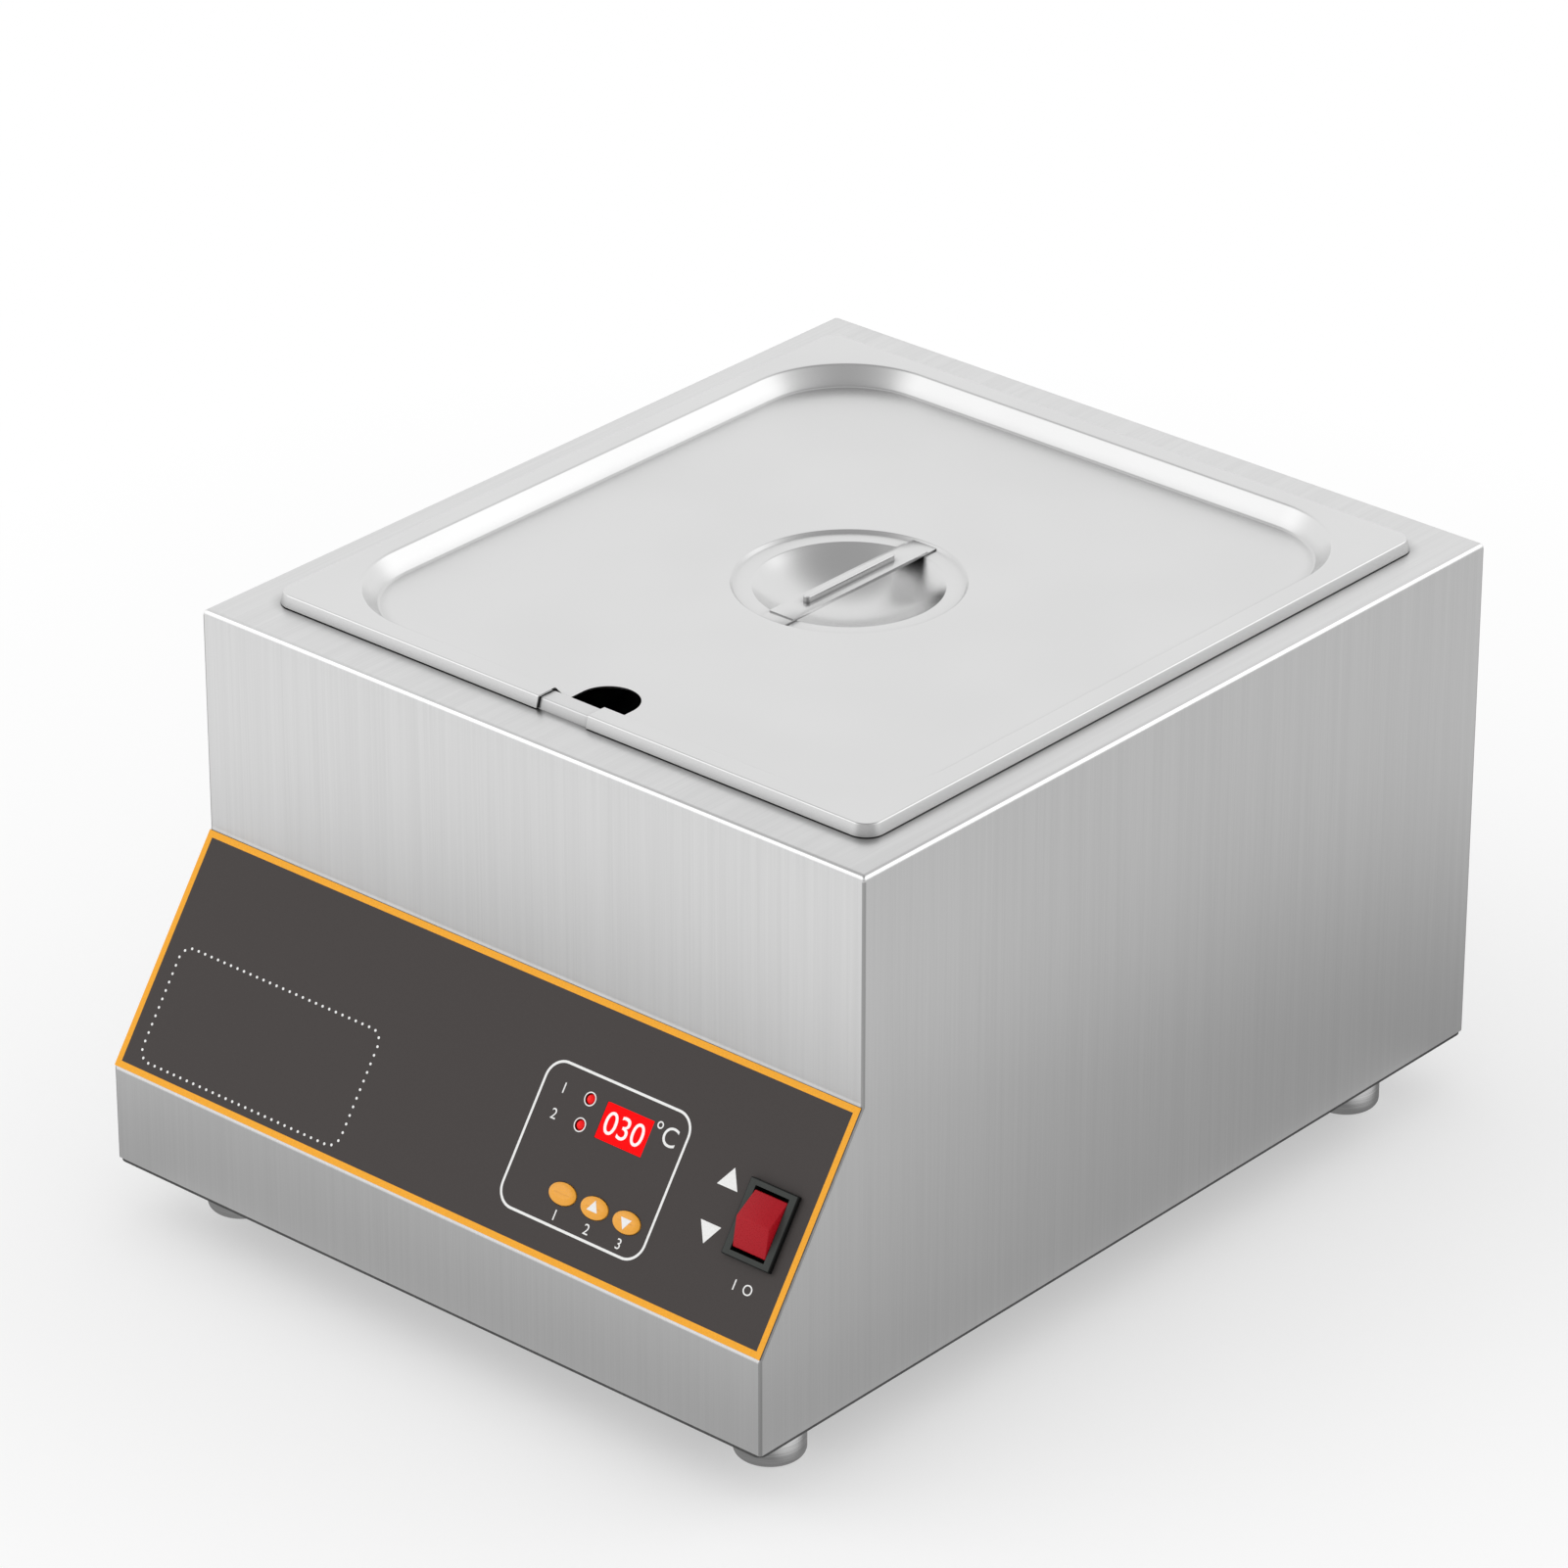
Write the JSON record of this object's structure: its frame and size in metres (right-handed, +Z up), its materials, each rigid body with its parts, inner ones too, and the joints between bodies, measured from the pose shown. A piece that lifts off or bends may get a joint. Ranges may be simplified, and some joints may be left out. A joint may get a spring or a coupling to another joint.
{
  "type": "chocolate melting tank",
  "caption": "Steel table-top melting tank with a heated well, a lift-out pan, a lid with finger dish and ladle notch, and a sloped control panel with display, keys and rocker switch.",
  "frame": {"origin": "on the ground under the middle of the whole tank", "axes": "+Z up, the control panel faces -Y, +X to the right as seen from the front"},
  "size_m": [0.36, 0.4802, 0.2686],
  "materials": {
    "steel_sheet": "fine upright brushing",
    "bright_steel": "fine satin",
    "zinc_steel": "bright zinc",
    "silicone": "matt moulded sheet",
    "mineral_wool": "loose fibres pressed to a board",
    "panel_film": "satin printed film",
    "red_window": "clear-faced red",
    "red_lens": "polished",
    "orange_key": "satin",
    "red_rocker": "satin moulding",
    "black_plastic": "fine moulded grain",
    "board": "lacquered glass-fibre board",
    "blue_plastic": "moulded",
    "green_plastic": "moulded",
    "brass": "plain turned",
    "seal_rubber": "matt",
    "lead_sleeve": "smooth sleeve"
  },
  "bodies": {
    "base": {"casing": "steel_sheet", "base_plate": "steel_sheet", "heating_well": "steel_sheet", "foot_front_left": "bright_steel", "foot_front_right": "bright_steel", "foot_rear_left": "bright_steel", "foot_rear_right": "bright_steel", "temperature_probe": "bright_steel", "base_screws": "zinc_steel", "foot_screws": "zinc_steel", "well_nuts": "zinc_steel", "heater_clamp_plate": "zinc_steel", "heater_nuts": "zinc_steel", "probe_clip": "zinc_steel", "sensor_screws": "zinc_steel", "board_screws": "zinc_steel", "base_heater": "silicone", "side_heater_left": "silicone", "side_heater_right": "silicone", "insulation_left": "mineral_wool", "insulation_right": "mineral_wool", "insulation_front": "mineral_wool", "insulation_rear": "mineral_wool", "panel_overlay": "panel_film", "display_window": "red_window", "heating_lamp": "red_lens", "holding_lamp": "red_lens", "display_module": "black_plastic", "tact_switch_set": "black_plastic", "tact_switch_up": "black_plastic", "tact_switch_down": "black_plastic", "transformer": "black_plastic", "switch_housing": "black_plastic", "overheat_cutout": "black_plastic", "gland_body": "black_plastic", "gland_cap": "black_plastic", "gland_lock_nut": "black_plastic", "control_board": "board", "relay": "blue_plastic", "terminal_block": "green_plastic", "board_spacers": "brass", "switch_terminals": "brass", "earth_bolt": "brass", "earth_nut": "brass", "gland_seal": "seal_rubber", "switch_leads": "lead_sleeve", "heater_leads": "lead_sleeve", "probe_lead": "lead_sleeve", "cutout_leads": "lead_sleeve"},
    "pan": {"pan": "bright_steel"},
    "lid": {"lid": "bright_steel", "lid_handle": "bright_steel"},
    "rocker": {"switch_rocker": "red_rocker"},
    "button_set": {"button_set": "orange_key"},
    "button_up": {"button_up": "orange_key"},
    "button_down": {"button_down": "orange_key"}
  },
  "joints": [
    {"name": "pan_lift", "type": "slide", "parent": "base", "child": "pan", "axis": [0, 0, 1], "range_m": [0, 0.16]},
    {"name": "lid_lift", "type": "slide", "parent": "pan", "child": "lid", "axis": [0, 0, 1], "range_m": [0, 0.12]},
    {"name": "rocker_tilt", "type": "hinge", "parent": "base", "child": "rocker", "pos_m": [0.1572, -0.20951, 0.11173], "axis": [1, 0, 0], "range_deg": [-11, 11]},
    {"name": "button_set_press", "type": "slide", "parent": "base", "child": "button_set", "axis": [0, 0.8219, -0.5697], "range_m": [0, 0.0007], "stiffness_N_per_m": 800, "springref_m": -0.0006},
    {"name": "button_up_press", "type": "slide", "parent": "base", "child": "button_up", "axis": [0, 0.8219, -0.5697], "range_m": [0, 0.0007], "stiffness_N_per_m": 800, "springref_m": -0.0006},
    {"name": "button_down_press", "type": "slide", "parent": "base", "child": "button_down", "axis": [0, 0.8219, -0.5697], "range_m": [0, 0.0007], "stiffness_N_per_m": 800, "springref_m": -0.0006}
  ]
}
